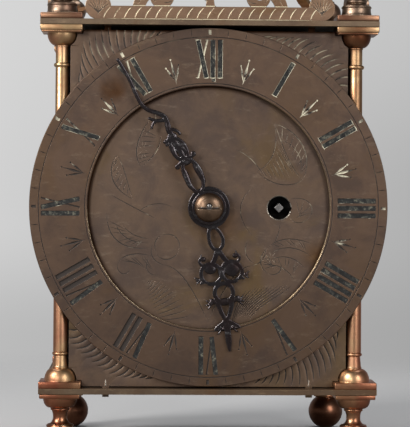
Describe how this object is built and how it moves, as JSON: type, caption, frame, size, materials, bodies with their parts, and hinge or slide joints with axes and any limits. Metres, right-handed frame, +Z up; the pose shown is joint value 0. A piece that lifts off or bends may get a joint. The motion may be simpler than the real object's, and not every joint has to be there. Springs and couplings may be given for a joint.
{
  "type": "lantern clock",
  "caption": "Brass lantern clock with corner pillars, wide chapter ring, bell under a four armed strap, pierced frets, side doors and a spring driven pendulum movement.",
  "frame": {"origin": "on the table at the middle of the four feet", "axes": "+X right as seen from the front, -Y towards the viewer in front of the dial, +Z up"},
  "size_m": [0.179, 0.1758, 0.3679],
  "materials": {
    "case_brass": "polished and worn, warm coppery tone",
    "plate_brass": "old lacquer, dull",
    "dial_brass": "patinated brown grey, engraved",
    "fret_brass": "cast, engraved and worn",
    "bell_metal": "turned bell metal",
    "movement_brass": "fine grained",
    "steel": "bright, lightly oiled",
    "iron": "forged black iron",
    "blued_steel": "dark blued, pierced and filed"
  },
  "bodies": {
    "case": {"bottom_plate": "plate_brass", "top_plate": "plate_brass", "corner_pillars": "case_brass", "ball_feet": "case_brass", "corner_finials": "case_brass", "front_fret": "fret_brass", "left_fret": "fret_brass", "right_fret": "fret_brass", "fret_screws": "steel", "bell_strap": "case_brass", "bell": "bell_metal", "bell_stud": "steel", "bell_nut": "steel", "top_finial": "case_brass", "dial_plate": "dial_brass", "chapter_ring": "dial_brass", "ring_pins": "steel", "back_panel": "iron", "back_panel_knob": "case_brass", "movement_front_plate": "movement_brass", "movement_back_plate": "movement_brass", "movement_pillars": "movement_brass", "seat_brackets": "steel", "movement_screws": "steel", "click_screw": "steel", "click_spring": "steel", "minute_stud": "steel", "back_cock": "movement_brass", "hammer_spring": "steel"},
    "centre_work": {"centre_arbor": "steel", "centre_wheel": "movement_brass", "cannon_pinion": "movement_brass", "minute_hand": "blued_steel", "hand_collet": "movement_brass", "collet_pin": "steel"},
    "hour_work": {"hour_wheel": "movement_brass", "hour_hand": "blued_steel"},
    "minute_work": {"minute_wheel": "movement_brass"},
    "intermediate_work": {"intermediate_arbor": "steel", "intermediate_wheel": "movement_brass"},
    "barrel_work": {"barrel": "movement_brass", "barrel_cap": "movement_brass", "mainspring": "steel"},
    "third_work": {"third_arbor": "steel", "third_wheel": "movement_brass"},
    "escape_work": {"escape_arbor": "steel", "escape_wheel": "movement_brass"},
    "winding_work": {"barrel_arbor": "steel", "ratchet_wheel": "steel"},
    "click_work": {"click": "steel"},
    "pendulum_work": {"pallet_arbor": "steel", "anchor": "steel", "pendulum_rod": "steel"},
    "bob_work": {"pendulum_bob": "movement_brass"},
    "hammer_work": {"hammer": "steel"},
    "left_door_work": {"left_door": "plate_brass", "left_door_knob": "case_brass"},
    "right_door_work": {"right_door": "plate_brass", "right_door_knob": "case_brass"}
  },
  "joints": [
    {"name": "minute_turn", "type": "hinge", "parent": "case", "child": "centre_work", "pos_m": [0, -0.04, 0.1287], "axis": [0, 1, 0], "continuous": true},
    {"name": "hour_turn", "type": "hinge", "parent": "case", "child": "hour_work", "pos_m": [0, -0.04, 0.1287], "axis": [0, 1, 0], "continuous": true},
    {"name": "minute_wheel_turn", "type": "hinge", "parent": "case", "child": "minute_work", "pos_m": [-0.0126, -0.04, 0.15052], "axis": [0, 1, 0], "continuous": true},
    {"name": "intermediate_turn", "type": "hinge", "parent": "case", "child": "intermediate_work", "pos_m": [0.01299, -0.04, 0.11061], "axis": [0, 1, 0], "continuous": true},
    {"name": "barrel_turn", "type": "hinge", "parent": "case", "child": "barrel_work", "pos_m": [0.0354, -0.04, 0.1287], "axis": [0, 1, 0], "continuous": true},
    {"name": "third_turn", "type": "hinge", "parent": "case", "child": "third_work", "pos_m": [-0.012, -0.04, 0.14357], "axis": [0, 1, 0], "continuous": true},
    {"name": "escape_turn", "type": "hinge", "parent": "case", "child": "escape_work", "pos_m": [0, -0.04, 0.15602], "axis": [0, 1, 0], "continuous": true},
    {"name": "winding_turn", "type": "hinge", "parent": "case", "child": "winding_work", "pos_m": [0.0354, -0.04, 0.1287], "axis": [0, 1, 0], "continuous": true},
    {"name": "click_lift", "type": "hinge", "parent": "case", "child": "click_work", "pos_m": [0.0474, -0.04, 0.1147], "axis": [0, -1, 0], "range_deg": [0, 12], "stiffness_Nm_per_rad": 0.004, "springref_deg": -5.73},
    {"name": "pendulum_swing", "type": "hinge", "parent": "case", "child": "pendulum_work", "pos_m": [0, -0.04, 0.17302], "axis": [0, 1, 0], "range_deg": [-4, 4]},
    {"name": "bob_slide", "type": "slide", "parent": "pendulum_work", "child": "bob_work", "axis": [0, 0, 1], "range_m": [-0.005, 0.005]},
    {"name": "hammer_lift", "type": "hinge", "parent": "case", "child": "hammer_work", "pos_m": [0.028, -0.04, 0.1727], "axis": [0, 1, 0], "range_deg": [0, 11], "stiffness_Nm_per_rad": 0.03, "springref_deg": -11.46},
    {"name": "left_door_swing", "type": "hinge", "parent": "case", "child": "left_door_work", "pos_m": [-0.07375, 0.0613, 0.1287], "axis": [0, 0, -1], "range_deg": [0, 95]},
    {"name": "right_door_swing", "type": "hinge", "parent": "case", "child": "right_door_work", "pos_m": [0.07375, 0.0613, 0.1287], "axis": [0, 0, 1], "range_deg": [0, 95]}
  ],
  "couplings": [
    {"joint": "hour_turn", "follows": "minute_turn", "ratio": 0.083333},
    {"joint": "minute_wheel_turn", "follows": "minute_turn", "ratio": -1},
    {"joint": "intermediate_turn", "follows": "minute_turn", "ratio": -0.125},
    {"joint": "barrel_turn", "follows": "minute_turn", "ratio": 0.017857},
    {"joint": "third_turn", "follows": "minute_turn", "ratio": -12},
    {"joint": "escape_turn", "follows": "minute_turn", "ratio": 144}
  ]
}
